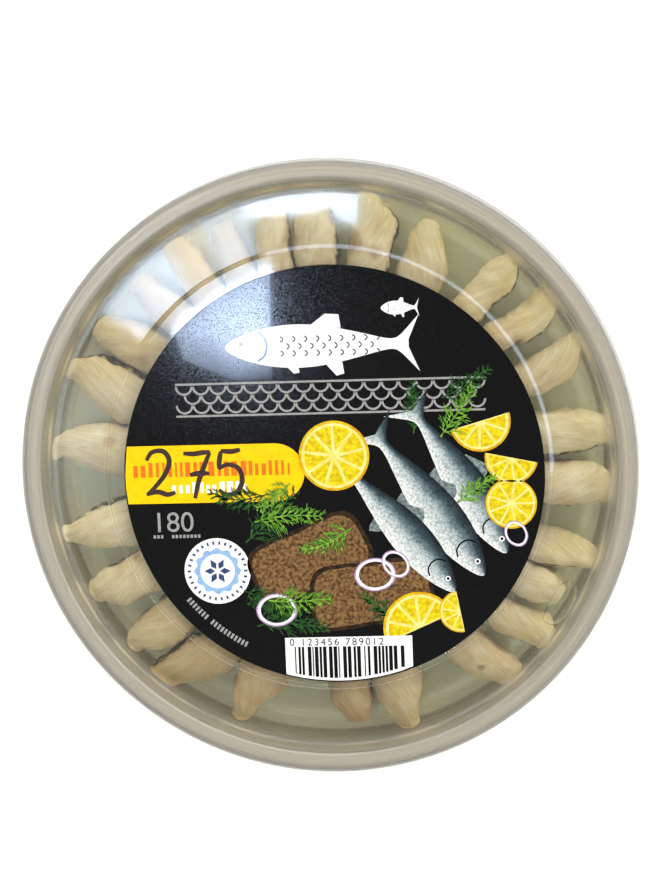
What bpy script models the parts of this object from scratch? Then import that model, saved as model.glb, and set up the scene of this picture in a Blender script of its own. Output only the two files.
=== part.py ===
"""Flat round tub of herring pieces in oil, shut with a clear snap lid.

Four solids: a clear tub, a clear lid that snaps over the tub's flange, a round label in
the lid's recess, and the heap of herring pieces, which lie as a ring with their tips
against the tub's wall.

The model stands on the tub's foot ring, centred on the Z axis. The top of the label
points to +Y. Lengths are in metres and angles in degrees.
"""

import math
import random

import bmesh
import bpy

MM = 0.001

# Whole pack
OUTER_RADIUS = 75.0 * MM        # lower edge of the lid's skirt, the widest place
HEIGHT = 22.0 * MM              # crest of the lid's rim
GAP = 0.3 * MM                  # left between pieces that touch
TURN_STEPS = 64                 # flats round the tub and the lid
SHARP_ANGLE = 35.0              # faces that meet at less are shaded smooth

# Tub
TUB_WALL = 0.9 * MM
FLOOR_TOP = 1.8 * MM
FLOOR_UNDERSIDE = 0.8 * MM
FOOT_INNER = 57.0 * MM          # flat foot ring that the tub stands on
FOOT_OUTER = 61.0 * MM
FOOT_SLOPE = 1.0 * MM
CORNER_RADIUS = 4.5 * MM        # inside corner between floor and wall
WALL_DRAFT = 10.0               # lean of the wall from upright
MOUTH_RADIUS = 70.2 * MM        # inside of the wall at the flange's top
FLANGE_TOP = 20.8 * MM
FLANGE_RADIUS = 73.5 * MM
FLANGE_THICKNESS = 0.9 * MM
FLANGE_ROUNDING = 0.4 * MM

# Lid
LID_WALL = 0.7 * MM
PANEL_TOP = 16.4 * MM           # recess that holds the label
PANEL_RADIUS = 53.4 * MM
STEP_RADIUS = 54.9 * MM         # top of the step round the recess
SHELF_TOP = 17.2 * MM           # flat ring between the step and the rim
SHELF_FILLET = 1.3 * MM
RIM_INNER_ROUNDING = 1.3 * MM
RIM_OUTER_ROUNDING = 1.7 * MM
SKIRT_TOP_RADIUS = 74.6 * MM
SKIRT_BOTTOM = 15.2 * MM
SNAP_BEAD_HEIGHT = 18.6 * MM    # ridge inside the skirt, under the flange
SNAP_BEAD_DEPTH = 0.6 * MM

# Label
LABEL_RADIUS = 51.3 * MM
LABEL_THICKNESS = 0.3 * MM
LABEL_OFFSET = (1.25 * MM, -1.6 * MM)
LABEL_STEPS = 96

# Herring heap
CORE_RADIUS = 43.0 * MM
CORE_TOP = 13.2 * MM
CORE_STEPS = 26
CORE_BEVEL = 1.5 * MM
PIECE_START = 38.0 * MM         # inner end of a piece, sunk in the core
PIECE_SHOULDER = 52.0 * MM      # where a piece starts to narrow, at the label's edge
PIECE_TOP = 15.2 * MM
TOP_SPREAD = 1.2 * MM           # the pieces are not equally high
TIP_DROP = 1.4 * MM             # a tip lies lower than its shoulder
TIP_HEIGHT = 1.0 * MM           # least height left where the wall's corner cuts under it
BOTTOM_SPREAD = 0.4 * MM        # the pieces do not lie equally low, either
LEAST_LIFT = 0.1                # as a share of that
SECTION_POINTS = 10
SECTION_SQUARENESS = 3.0        # 2 is an ellipse, more is a boxier section
LOWER_EDGE = 0.8                # how far out a section's lower edge is, of its half width
STATIONS = (0.0, 0.22, 0.45, 0.64, 0.8, 0.92, 0.985)
TIP_ROOM = 0.35 * MM            # kept to the wall beyond the gap, for its flats

# The ring of herring pieces, anticlockwise from +X as the photograph shows them: angle
# at the label's edge, angle at the tip, width in mm, bluntness of the tip, reach in mm
WALL_REACH = 68.3               # reach of a tip that leans on the tub's wall
PIECES = (
    (9.5, 8.5, 10.5, 5.5, WALL_REACH),
    (24.0, 27.0, 9.5, 3.5, WALL_REACH),
    (37.5, 37.5, 8.5, 7.0, WALL_REACH),
    (49.5, 49.0, 8.0, 4.5, WALL_REACH),
    (64.5, 68.0, 12.0, 1.5, 65.0),
    (78.5, 81.5, 11.0, 3.0, 67.5),
    (93.5, 93.5, 11.0, 4.5, 63.5),
    (105.0, 103.0, 9.0, 6.0, 64.0),
    (115.0, 114.5, 8.5, 5.0, 65.0),
    (125.0, 125.5, 9.0, 5.0, 67.0),
    (136.5, 137.0, 9.5, 5.0, 66.0),
    (147.5, 149.5, 11.5, 2.0, 67.0),
    (162.0, 158.5, 13.5, 1.5, WALL_REACH),
    (176.0, 176.5, 13.0, 1.5, WALL_REACH),
    (196.0, 195.5, 12.5, 1.5, WALL_REACH),
    (211.0, 209.0, 11.5, 2.5, 68.0),
    (226.0, 222.5, 12.0, 2.0, 68.0),
    (239.5, 232.0, 13.0, 3.5, WALL_REACH),
    (252.5, 250.5, 13.0, 1.5, 68.0),
    (275.0, 276.0, 10.0, 3.5, 65.0),
    (287.5, 287.0, 11.5, 2.5, 68.0),
    (306.5, 311.0, 10.0, 6.5, WALL_REACH),
    (319.5, 322.5, 8.5, 6.5, WALL_REACH),
    (331.0, 331.0, 9.0, 5.5, 65.0),
    (340.0, 341.5, 9.5, 3.5, WALL_REACH),
    (356.5, 357.0, 11.0, 7.0, WALL_REACH),
)


def material(name, colour, roughness, transmission=0.0):
    """Make a Principled material of one colour."""
    made = bpy.data.materials.new(name)
    made.use_nodes = True
    shader = made.node_tree.nodes["Principled BSDF"]
    shader.inputs["Base Color"].default_value = (*colour, 1.0)
    shader.inputs["Metallic"].default_value = 0.0
    shader.inputs["Roughness"].default_value = roughness
    shader.inputs["Transmission Weight"].default_value = transmission
    made.diffuse_color = (*colour, 1.0)
    return made


def arc(centre_radius, centre_height, radius, start, end, steps):
    """Points of a section's rounding, from angle start to angle end."""
    points = []
    for step in range(steps + 1):
        angle = math.radians(start + (end - start) * step / steps)
        points.append((centre_radius + radius * math.cos(angle),
                       centre_height + radius * math.sin(angle)))
    return points


def finish(name, mesh_builder, surface):
    """Turn a bmesh into a named object with its material and smooth round faces."""
    bmesh.ops.recalc_face_normals(mesh_builder, faces=mesh_builder.faces)
    mesh = bpy.data.meshes.new(name)
    mesh_builder.to_mesh(mesh)
    mesh_builder.free()
    mesh.materials.append(surface)
    mesh.shade_smooth()
    mesh.set_sharp_from_angle(angle=math.radians(SHARP_ANGLE))
    made = bpy.data.objects.new(name, mesh)
    bpy.context.collection.objects.link(made)
    return made


def turned(name, profile, surface, steps, offset=(0.0, 0.0)):
    """Spin a section, from the axis out and back to the axis, into a closed solid."""
    builder = bmesh.new()
    points = [builder.verts.new((radius, 0.0, height)) for radius, height in profile]
    edges = [builder.edges.new(pair) for pair in zip(points, points[1:])]
    bmesh.ops.spin(builder, geom=points + edges, cent=(0.0, 0.0, 0.0),
                   axis=(0.0, 0.0, 1.0), angle=math.tau, steps=steps, use_merge=True)
    bmesh.ops.remove_doubles(builder, verts=builder.verts, dist=1e-6)
    bmesh.ops.translate(builder, verts=builder.verts, vec=(*offset, 0.0))
    return finish(name, builder, surface)


def wall_radius(height):
    """Inside radius of the tub's leaning wall."""
    return MOUTH_RADIUS - (FLANGE_TOP - height) * math.tan(math.radians(WALL_DRAFT))


def corner_centre():
    """Radius and height of the centre of the rounding between floor and wall."""
    height = FLOOR_TOP + CORNER_RADIUS
    radius = wall_radius(height) - CORNER_RADIUS / math.cos(math.radians(WALL_DRAFT))
    return radius, height


def tub_profile():
    """Section of the tub: underside and foot ring, wall, flange, inside and floor."""
    centre_radius, centre_height = corner_centre()
    outer_corner = CORNER_RADIUS + TUB_WALL
    wall_shift = TUB_WALL / math.cos(math.radians(WALL_DRAFT))
    flange_underside = FLANGE_TOP - FLANGE_THICKNESS
    profile = [
        (0.0, FLOOR_UNDERSIDE),
        (FOOT_INNER - FOOT_SLOPE, FLOOR_UNDERSIDE),
        (FOOT_INNER, 0.0),
        (FOOT_OUTER, 0.0),
        (FOOT_OUTER + FOOT_SLOPE, centre_height - outer_corner),
    ]
    profile += arc(centre_radius, centre_height, outer_corner, -90.0, -WALL_DRAFT, 4)
    profile += [
        (wall_radius(flange_underside) + wall_shift, flange_underside),
        (FLANGE_RADIUS, flange_underside),
        (FLANGE_RADIUS, FLANGE_TOP - FLANGE_ROUNDING),
        (FLANGE_RADIUS - FLANGE_ROUNDING, FLANGE_TOP),
        (MOUTH_RADIUS + FLANGE_ROUNDING, FLANGE_TOP),
        (wall_radius(FLANGE_TOP - FLANGE_ROUNDING), FLANGE_TOP - FLANGE_ROUNDING),
    ]
    profile += arc(centre_radius, centre_height, CORNER_RADIUS, -WALL_DRAFT, -90.0, 5)
    profile.append((0.0, FLOOR_TOP))
    return profile


def lid_profile():
    """Section of the lid: recess, step, shelf, rim and skirt, then back underneath."""
    lean = math.radians(WALL_DRAFT)
    inner_shift = (GAP + LID_WALL) / math.cos(lean)

    # The lid's upright wall stands just inside the tub's, at the same lean
    fillet_height = SHELF_TOP + SHELF_FILLET
    fillet_radius = wall_radius(fillet_height) - inner_shift - SHELF_FILLET / math.cos(lean)
    crown_height = HEIGHT - RIM_INNER_ROUNDING
    crown_radius = (wall_radius(crown_height) - inner_shift
                    + RIM_INNER_ROUNDING / math.cos(lean))
    shoulder_height = HEIGHT - RIM_OUTER_ROUNDING
    shoulder_radius = SKIRT_TOP_RADIUS - RIM_OUTER_ROUNDING

    profile = [
        (0.0, PANEL_TOP),
        (PANEL_RADIUS, PANEL_TOP),
        (STEP_RADIUS, SHELF_TOP),
    ]
    profile += arc(fillet_radius, fillet_height, SHELF_FILLET, -90.0, -WALL_DRAFT, 3)
    profile += arc(crown_radius, crown_height, RIM_INNER_ROUNDING, 180.0 - WALL_DRAFT, 90.0, 3)
    profile += arc(shoulder_radius, shoulder_height, RIM_OUTER_ROUNDING, 90.0, 0.0, 3)
    profile += [
        (OUTER_RADIUS, SKIRT_BOTTOM),
        (OUTER_RADIUS - LID_WALL, SKIRT_BOTTOM),
        (SKIRT_TOP_RADIUS - LID_WALL, SNAP_BEAD_HEIGHT - SNAP_BEAD_DEPTH),
        (SKIRT_TOP_RADIUS - LID_WALL - SNAP_BEAD_DEPTH, SNAP_BEAD_HEIGHT),
        (SKIRT_TOP_RADIUS - LID_WALL, SNAP_BEAD_HEIGHT + SNAP_BEAD_DEPTH),
    ]
    ceiling = FLANGE_TOP + GAP
    profile += arc(SKIRT_TOP_RADIUS - LID_WALL - SNAP_BEAD_DEPTH, ceiling - SNAP_BEAD_DEPTH,
                   SNAP_BEAD_DEPTH, 0.0, 90.0, 2)
    outer_shift = GAP / math.cos(lean)
    profile.append((wall_radius(ceiling) - outer_shift, ceiling))
    profile += arc(fillet_radius, fillet_height, SHELF_FILLET + LID_WALL,
                   -WALL_DRAFT, -90.0, 3)
    profile += [
        (STEP_RADIUS, SHELF_TOP - LID_WALL),
        (PANEL_RADIUS, PANEL_TOP - LID_WALL),
        (0.0, PANEL_TOP - LID_WALL),
    ]
    return profile


def label_profile():
    """Section of the label, a thin disc just above the floor of the lid's recess."""
    underside = PANEL_TOP + GAP
    return [
        (0.0, underside),
        (LABEL_RADIUS, underside),
        (LABEL_RADIUS, underside + LABEL_THICKNESS),
        (0.0, underside + LABEL_THICKNESS),
    ]


def tub_inside_height(radius):
    """Height of the tub's inside surface at a radius: floor, rounding, then wall."""
    centre_radius, centre_height = corner_centre()
    if radius <= centre_radius:
        return FLOOR_TOP
    reach = radius - centre_radius
    if reach < CORNER_RADIUS * math.cos(math.radians(WALL_DRAFT)):
        return centre_height - math.sqrt(CORNER_RADIUS ** 2 - reach ** 2)
    return FLANGE_TOP - (MOUTH_RADIUS - radius) / math.tan(math.radians(WALL_DRAFT))


def section_ring(builder, radius, angle, half_width, bottom, top):
    """One cross-section of a herring piece, a rounded box that stands across it."""
    middle = (bottom + top) / 2
    half_height = (top - bottom) / 2
    outward = (math.cos(angle), math.sin(angle))
    ring = []
    for index in range(SECTION_POINTS):
        turn = math.tau * (index + 0.5) / SECTION_POINTS
        side = math.copysign(abs(math.cos(turn)) ** (2 / SECTION_SQUARENESS), math.cos(turn))
        rise = math.copysign(abs(math.sin(turn)) ** (2 / SECTION_SQUARENESS), math.sin(turn))
        across = side * half_width
        ring.append(builder.verts.new((radius * outward[0] - across * outward[1],
                                       radius * outward[1] + across * outward[0],
                                       middle + rise * half_height)))
    return ring


def herring_piece(index, base_angle, tip_angle, width, bluntness, reach, top, lift, surface):
    """Loft one piece from the core to its tip; it follows the tub's rounded corner."""
    builder = bmesh.new()
    rings = []
    for share in STATIONS:
        radius = PIECE_START + (reach - PIECE_START) * share
        along = max(0.0, (radius - PIECE_SHOULDER) / (reach - PIECE_SHOULDER))
        angle = math.radians(base_angle + (tip_angle - base_angle) * along)
        half_width = width / 2 * math.sqrt(1.0 - along ** bluntness)
        farthest = math.hypot(radius, half_width * LOWER_EDGE) + TIP_ROOM
        bottom = max(FLOOR_TOP + lift, tub_inside_height(farthest)) + GAP
        upper = top - TIP_DROP * along ** 3
        bottom = min(bottom, upper - TIP_HEIGHT)
        rings.append(section_ring(builder, radius, angle, half_width, bottom, upper))
    for near, far in zip(rings, rings[1:]):
        for point in range(SECTION_POINTS):
            after = (point + 1) % SECTION_POINTS
            builder.faces.new((near[point], near[after], far[after], far[point]))
    builder.faces.new(rings[0])
    builder.faces.new(rings[-1])
    return finish(f"piece_{index:02d}", builder, surface)


def herring_core(surface):
    """The low round middle of the heap, which the ring of pieces grows out of."""
    builder = bmesh.new()
    bmesh.ops.create_cone(builder, cap_ends=True, segments=CORE_STEPS, radius1=CORE_RADIUS,
                          radius2=CORE_RADIUS, depth=CORE_TOP - FLOOR_TOP - GAP)
    bmesh.ops.translate(builder, verts=builder.verts,
                        vec=(0.0, 0.0, (CORE_TOP + FLOOR_TOP + GAP) / 2))
    upper_edges = [edge for edge in builder.edges
                   if all(vertex.co.z > CORE_TOP - GAP for vertex in edge.verts)]
    bmesh.ops.bevel(builder, geom=upper_edges, offset=CORE_BEVEL, segments=1,
                    affect="EDGES")
    return finish("herring", builder, surface)


def herring_heap(surface):
    """Fuse the ring of pieces onto the core, so that the heap is one solid."""
    draw = random.Random(11)
    core = herring_core(surface)
    pieces = bpy.data.collections.new("pieces")
    bpy.context.scene.collection.children.link(pieces)
    for index, (base_angle, tip_angle, width, bluntness, reach) in enumerate(PIECES):
        top = PIECE_TOP - TOP_SPREAD * draw.random()
        lift = BOTTOM_SPREAD * draw.uniform(LEAST_LIFT, 1.0)
        piece = herring_piece(index, base_angle, tip_angle, width * MM, bluntness,
                              reach * MM, top, lift, surface)
        bpy.context.collection.objects.unlink(piece)
        pieces.objects.link(piece)
    union = core.modifiers.new("fuse", "BOOLEAN")
    union.operation = "UNION"
    union.operand_type = "COLLECTION"
    union.collection = pieces
    union.solver = "EXACT"
    bpy.context.view_layer.objects.active = core
    bpy.ops.object.modifier_apply(modifier=union.name)
    for piece in list(pieces.objects):
        bpy.data.objects.remove(piece)
    bpy.data.collections.remove(pieces)
    return core


for leftover in list(bpy.data.objects):
    bpy.data.objects.remove(leftover)

tub_plastic = material("clear tub plastic", (0.83, 0.84, 0.80), 0.12, 0.9)
lid_plastic = material("clear lid plastic", (0.88, 0.89, 0.87), 0.10, 0.9)
label_film = material("printed label film", (0.015, 0.015, 0.017), 0.35)
herring_flesh = material("herring flesh", (0.62, 0.50, 0.33), 0.45)

turned("tub", tub_profile(), tub_plastic, TURN_STEPS)
turned("lid", lid_profile(), lid_plastic, TURN_STEPS)
turned("label", label_profile(), label_film, LABEL_STEPS, LABEL_OFFSET)
herring_heap(herring_flesh)
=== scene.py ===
import math
import random

import bpy
from mathutils import Matrix, Vector, noise


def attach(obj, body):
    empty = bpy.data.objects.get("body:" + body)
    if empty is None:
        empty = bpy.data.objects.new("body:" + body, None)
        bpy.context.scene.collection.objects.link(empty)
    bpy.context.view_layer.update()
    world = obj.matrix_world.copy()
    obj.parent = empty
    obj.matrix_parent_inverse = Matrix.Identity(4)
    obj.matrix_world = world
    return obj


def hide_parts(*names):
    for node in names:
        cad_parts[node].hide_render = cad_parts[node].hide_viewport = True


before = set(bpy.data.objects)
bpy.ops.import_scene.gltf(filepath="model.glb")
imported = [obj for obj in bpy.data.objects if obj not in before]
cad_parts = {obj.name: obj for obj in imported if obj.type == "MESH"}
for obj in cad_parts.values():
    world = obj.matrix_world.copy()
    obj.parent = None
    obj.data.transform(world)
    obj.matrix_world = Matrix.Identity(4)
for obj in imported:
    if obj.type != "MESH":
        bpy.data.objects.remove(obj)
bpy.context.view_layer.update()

MM = 0.001


# Camera. It is held over the pack, a little towards its upper right, and looks almost
# straight down. The pack lies just below the middle of the frame.
def polar(radius, degrees):
    """Where a point lies that has a radius and an angle, as x and y."""
    return radius * math.cos(math.radians(degrees)), radius * math.sin(math.radians(degrees))


lid_middle = Vector((0.0, 0.0, 20.0 * MM))
camera_lean = math.radians(11.0)
camera_side = 58.0                  # degrees from +X
camera_distance = 550.0 * MM
aim = Vector((0.53 * MM, 8.3 * MM, 20.0 * MM))
long_side = 210.6 * MM              # what the frame's long side takes in at the lid
sensor_width = 36.0                 # mm

camera_place = lid_middle + camera_distance * Vector((
    *polar(math.sin(camera_lean), camera_side), math.cos(camera_lean)))
forward = (aim - camera_place).normalized()
rightward = forward.cross(Vector((0.0, 1.0, 0.0))).normalized()
upward = rightward.cross(forward)

bpy.ops.object.camera_add(location=camera_place)
camera = bpy.context.object
camera.matrix_world = Matrix.Translation(camera_place) @ Matrix(
    (rightward, upward, -forward)).transposed().to_4x4()
camera.data.sensor_width = sensor_width
camera.data.lens = sensor_width * (aim - camera_place).length / long_side
scene = bpy.context.scene
scene.camera = camera
scene.view_settings.view_transform = "Standard"

# Light crosses up to a dozen clear surfaces at the rim, so paths are let go on for longer
scene.cycles.max_bounces = 20
scene.cycles.transmission_bounces = 20
scene.cycles.transparent_max_bounces = 24


# Light. A pale room lights the pack softly from all sides, a little more from the upper
# right, and is dim straight above, so that the flat of the lid stays clear to look through.
# The lid and the label mirror a window's panes, up at the left, and a faint strip below them.
def linear(code):
    """Turn an sRGB hex colour into the linear colour that a shader takes."""
    shares = [int(code[place:place + 2], 16) / 255.0 for place in (1, 3, 5)]
    return tuple(share / 12.92 if share <= 0.04045 else ((share + 0.055) / 1.055) ** 2.4
                 for share in shares) + (1.0,)


def set_inputs(tree, node, inputs):
    """Give each input of a node its value, or link the socket that feeds it."""
    for name, value in inputs.items():
        if isinstance(value, bpy.types.NodeSocket):
            tree.links.new(value, node.inputs[name])
        else:
            node.inputs[name].default_value = value


def add_node(tree, kind, inputs, **settings):
    """Add a shader node, and set its properties and its inputs."""
    node = tree.nodes.new("ShaderNode" + kind)
    for name, value in settings.items():
        setattr(node, name, value)
    set_inputs(tree, node, inputs)
    return node


def calculate(tree, operation, *values):
    """The result of a calculation with numbers or sockets."""
    return add_node(tree, "Math", dict(enumerate(values)), operation=operation).outputs[0]


def spread(tree, value, low, high, to_low=0.0, to_high=1.0):
    """Map a value between low and high to one between two others."""
    return add_node(tree, "MapRange", {"Value": value, "From Min": low, "From Max": high,
                                       "To Min": to_low, "To Max": to_high}).outputs["Result"]


def uneven(tree, vector, scale, detail=3.0):
    """Noise around 0.5, with so many waves to a metre."""
    return add_node(tree, "TexNoise", {"Vector": vector, "Scale": scale,
                                       "Detail": detail}).outputs["Fac"]


def ramp(tree, value, stops):
    """The colour for a value. A stop is a place from 0 to 1 and a linear colour."""
    node = add_node(tree, "ValToRGB", {"Fac": value})
    while len(node.color_ramp.elements) < len(stops):
        node.color_ramp.elements.new(0.5)
    for element, (place, colour) in zip(node.color_ramp.elements, stops):
        element.position = place
        element.color = colour
    return node.outputs["Color"]


def store(mesh, name, values):
    """Keep one number for each point of a mesh, for its material to read."""
    mesh.attributes.new(name, "FLOAT", "POINT").data.foreach_set("value", values)


room = bpy.data.worlds.new("pale room")
scene.world = room
room.use_nodes = True
tree = room.node_tree
tree.nodes.clear()
direction = add_node(tree, "TexCoord", {}).outputs["Generated"]
height = add_node(tree, "SeparateXYZ", {"Vector": direction}).outputs["Z"]
room_light = ramp(tree, height, [(place, (level, level, level, 1.0)) for place, level in (
    (0.0, 0.50), (0.10, 0.62), (0.25, 0.86), (0.45, 1.04), (0.66, 1.12), (0.80, 0.66),
    (0.90, 0.30), (1.0, 0.15))])
room_strength = 1.95
brighter_side = (0.36, 0.62, 0.0)   # its length is the share by which that side is brighter
towards_it = add_node(tree, "VectorMath", {0: direction, 1: brighter_side},
                      operation="DOT_PRODUCT").outputs["Value"]
strength = calculate(tree, "MULTIPLY", calculate(tree, "ADD", towards_it, 1.0), room_strength)
background = add_node(tree, "Background", {"Color": room_light, "Strength": strength})
add_node(tree, "OutputWorld", {"Surface": background.outputs[0]})

window_height = 900.0 * MM          # above the lid
shelf_top = 17.2                    # height in mm of the lid's flat shelf


def mirrored_place(angle, radius):
    """Where a pane's corner hangs, for the camera to see it mirrored at a place on the lid."""
    on_lid = Vector((*polar(radius * MM, angle), shelf_top * MM))
    foot = Vector((camera_place.x, camera_place.y, on_lid.z))
    place = on_lid + (on_lid - foot) * window_height / (camera_place.z - on_lid.z)
    place.z = on_lid.z + window_height
    return place


def window_pane(name, brightness, corners, tint="#CCDFFF"):
    """Hang one bright pane. A corner is the angle and radius on the lid where it is mirrored,
    and the share of the brightness that the pane has there."""
    mesh = bpy.data.meshes.new(name)
    mesh.from_pydata([mirrored_place(*corner[:2]) for corner in corners], [],
                     [list(range(len(corners)))])
    store(mesh, "glow", [corner[2] for corner in corners])
    light = bpy.data.materials.new(name)
    light.use_nodes = True
    tree = light.node_tree
    tree.nodes.clear()
    share = add_node(tree, "Attribute", {}, attribute_name="glow").outputs["Fac"]
    glow = add_node(tree, "Emission", {
        "Color": linear(tint), "Strength": calculate(tree, "MULTIPLY", share, brightness)})
    add_node(tree, "OutputMaterial", {"Surface": glow.outputs[0]})
    mesh.materials.append(light)
    pane = bpy.data.objects.new(name, mesh)
    bpy.context.collection.objects.link(pane)
    pane.visible_camera = False
    return pane


window_pane("window_left", 7.6, ((127, 54.6, 1), (127, 68, 1), (145.5, 68, 0.8), (145.5, 54.6, 0.9)))
window_pane("window_middle", 5.6, ((108, 54.6, 1), (108, 68, 1), (117.5, 68, 1), (117.5, 54.6, 1)))
window_pane("window_bar", 3.8, ((117.5, 54.6, 1), (117.5, 68, 1), (127, 68, 1), (127, 54.6, 1)),
            "#F4F1F2")
window_pane("window_upper", 12.0, ((89, 63.3, 1), (89, 68, 1), (108, 68, 1), (108, 63.3, 1)))
window_pane("window_right", 11.0, ((83.5, 60, 1), (83.5, 68, 1), (89, 68, 1), (89, 60, 1)))
window_pane("window_sill", 5.0, ((105, 50.5, 1), (105, 54.5, 1), (124, 54.5, 1), (141, 54.5, 0.6),
                                 (141, 50.5, 0.6), (124, 50.5, 1)))
window_pane("window_low", 80.0, ((106.2, 50.4, 0.48), (124, 50.4, 0.50), (119, 37, 0.74),
                                 (113.5, 34.5, 0.68)))
window_pane("window_lowest", 80.0, ((113.5, 34.5, 0.68), (119, 37, 0.74), (124, 50.4, 0.50),
                                    (138, 50.4, 0.38), (143, 44, 0.27), (137, 32, 0.14),
                                    (122, 25.5, 0.02)))
# A pale strip low at the left: only the slope of the step and the bends of the rim mirror
# it, as fine lines round the right half of the lid, and it lights nothing else
strip = window_pane("window_strip", 5.5, (
    (184, 130, 1), (184, 150, 1), (205, 155, 1), (226, 158, 1), (253, 160, 1), (283, 154, 1),
    (283, 135, 1), (253, 139, 1), (226, 138, 1), (205, 135, 1)))
strip.visible_diffuse = False


# Floor. A wide sheet of white painted board, lit so well that it shows plain white.
def new_material(name, inputs):
    """Make a material and set its shader. Also gives its tree, its shader and, as a socket,
    each point's place on the piece."""
    made = bpy.data.materials.new(name)
    made.use_nodes = True
    tree = made.node_tree
    shader = tree.nodes["Principled BSDF"]
    set_inputs(tree, shader, inputs)
    return made, tree, shader, add_node(tree, "TexCoord", {}).outputs["Object"]


floor_size, floor_gap = 4.0, 0.05 * MM   # metres
bpy.ops.mesh.primitive_plane_add(size=floor_size, location=(0.0, 0.0, -floor_gap))
floor = bpy.context.object
floor.name = "floor"
painted_board, tree, shader, place = new_material("matte white painted board", {
    "Roughness": 0.9, "Specular IOR Level": 0.1, "Emission Color": linear("#FFFFFF"),
    "Emission Strength": 0.06})
set_inputs(tree, shader, {"Base Color": ramp(tree, uneven(tree, place, 30.0, 2.0), [
    (0.3, linear("#F1F1F0")), (0.7, linear("#F5F5F4"))])})
floor.data.materials.append(painted_board)


# Tub. Clear polypropylene, thermoformed in one piece: a floor on a foot ring, a wall that
# leans outwards, and a flange that the lid snaps over. The section is the CAD model's with
# finer roundings.
def arc(centre, radius, start, end, steps):
    """Points of a rounding about a centre, from angle start to angle end in degrees."""
    points = [polar(radius, start + (end - start) * step / steps) for step in range(steps + 1)]
    return [(centre[0] + x, centre[1] + y) for x, y in points]


def edit_whole():
    """Start to edit the active piece, with all of it selected."""
    bpy.ops.object.mode_set(mode="EDIT")
    bpy.ops.mesh.select_all(action="SELECT")


def turn_faces_outward():
    """Make the faces of the active piece look outward, and end its editing."""
    edit_whole()
    bpy.ops.mesh.normals_make_consistent(inside=False)
    bpy.ops.object.mode_set(mode="OBJECT")


round_steps = 192                   # in a full turn
sharp_from = math.radians(38.0)     # the bend from which an edge stays sharp


def turn_section(name, section):
    """Turn a section in mm, from near the axis out and back, into a closed smooth piece. A
    long straight stretch gets a ring close to each of its ends, which keeps it flat."""
    held = [section[0]]
    long_stretch, close = 1.0, 0.06
    for start, end in zip(section, section[1:]):
        length = math.dist(start, end)
        if length > long_stretch:
            for share in (close / length, 1.0 - close / length):
                held.append(tuple(a + (b - a) * share for a, b in zip(start, end)))
        held.append(end)
    radius, height = held[0]
    bpy.ops.mesh.primitive_circle_add(vertices=round_steps, radius=radius * MM, fill_type="TRIFAN",
                                      location=(0.0, 0.0, height * MM))
    made = bpy.context.object
    made.name = made.data.name = name
    bpy.ops.object.transform_apply()
    bpy.ops.object.mode_set(mode="EDIT")
    bpy.ops.mesh.select_mode(type="VERT")
    bpy.ops.mesh.select_all(action="DESELECT")
    bpy.ops.mesh.select_non_manifold()
    for next_radius, next_height in held[1:]:
        bpy.ops.mesh.extrude_region_move(
            TRANSFORM_OT_translate={"value": (0.0, 0.0, (next_height - height) * MM)})
        bpy.ops.transform.resize(value=(next_radius / radius, next_radius / radius, 1.0),
                                 center_override=(0.0, 0.0, next_height * MM))
        radius, height = next_radius, next_height
    bpy.ops.mesh.edge_face_add()
    bpy.ops.mesh.poke()
    turn_faces_outward()
    bpy.ops.object.shade_smooth_by_angle(angle=sharp_from)
    return made


def clear_material(name, tint, lamp_tint, roughness, ior, gloss, wave_mm=0.0, wave_depth=0.0,
                   formed_beyond=None, formed_roughness=0.0, formed_tint=None, edge_tint=None,
                   milk=0.0):
    """A clear material that light from lamps and from pale surfaces goes straight through.
    Beyond a radius in mm, where forming has stretched it, it can have another roughness and
    tint, and a greyer tint towards its edge, where the eye looks down through an upright
    skirt. Milk is the share of light that the plastic scatters like a pale solid."""
    made, tree, clear, place = new_material(name, {
        "Base Color": linear(tint), "Roughness": roughness, "IOR": ior,
        "Specular IOR Level": gloss, "Transmission Weight": 1.0 - milk})
    if formed_beyond:
        # the haze is inside the plastic; its skin still shines like the rest
        flat = add_node(tree, "VectorMath", {0: place, 1: (1.0, 1.0, 0.0)}, operation="MULTIPLY")
        radius = add_node(tree, "VectorMath", {0: flat.outputs[0]}, operation="LENGTH").outputs["Value"]
        ramp_start, ramp_length = 65.0, 10.0    # mm
        first, full = formed_beyond - 1.0, formed_beyond + 0.5
        outward = spread(tree, radius, ramp_start * MM, (ramp_start + ramp_length) * MM)
        tints = ramp(tree, outward, [((end - ramp_start) / ramp_length, linear(colour)) for end, colour in (
            (first, tint), (full, formed_tint), (73.0, formed_tint), (74.2, edge_tint))])
        formed = spread(tree, radius, first * MM, full * MM)
        set_inputs(tree, clear, {
            "Base Color": tints, "Coat Weight": 0.4, "Coat Roughness": 0.05, "Coat IOR": 1.49,
            "Roughness": spread(tree, formed, 0.0, 1.0, roughness, formed_roughness)})
    if wave_depth:
        wave = uneven(tree, place, 1.0 / (wave_mm * MM), 1.0)
        bump = add_node(tree, "Bump", {"Height": wave, "Distance": wave_depth * MM, "Strength": 1.0})
        set_inputs(tree, clear, {"Normal": bump.outputs["Normal"]})
    ray = add_node(tree, "LightPath", {}).outputs
    lamp_ray = calculate(tree, "MAXIMUM", ray["Is Shadow Ray"], ray["Is Diffuse Ray"])
    straight = add_node(tree, "BsdfTransparent", {"Color": linear(lamp_tint)})
    both = add_node(tree, "MixShader", {0: lamp_ray, 1: clear.outputs[0], 2: straight.outputs[0]})
    set_inputs(tree, tree.nodes["Material Output"], {"Surface": both.outputs[0]})
    return made


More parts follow.
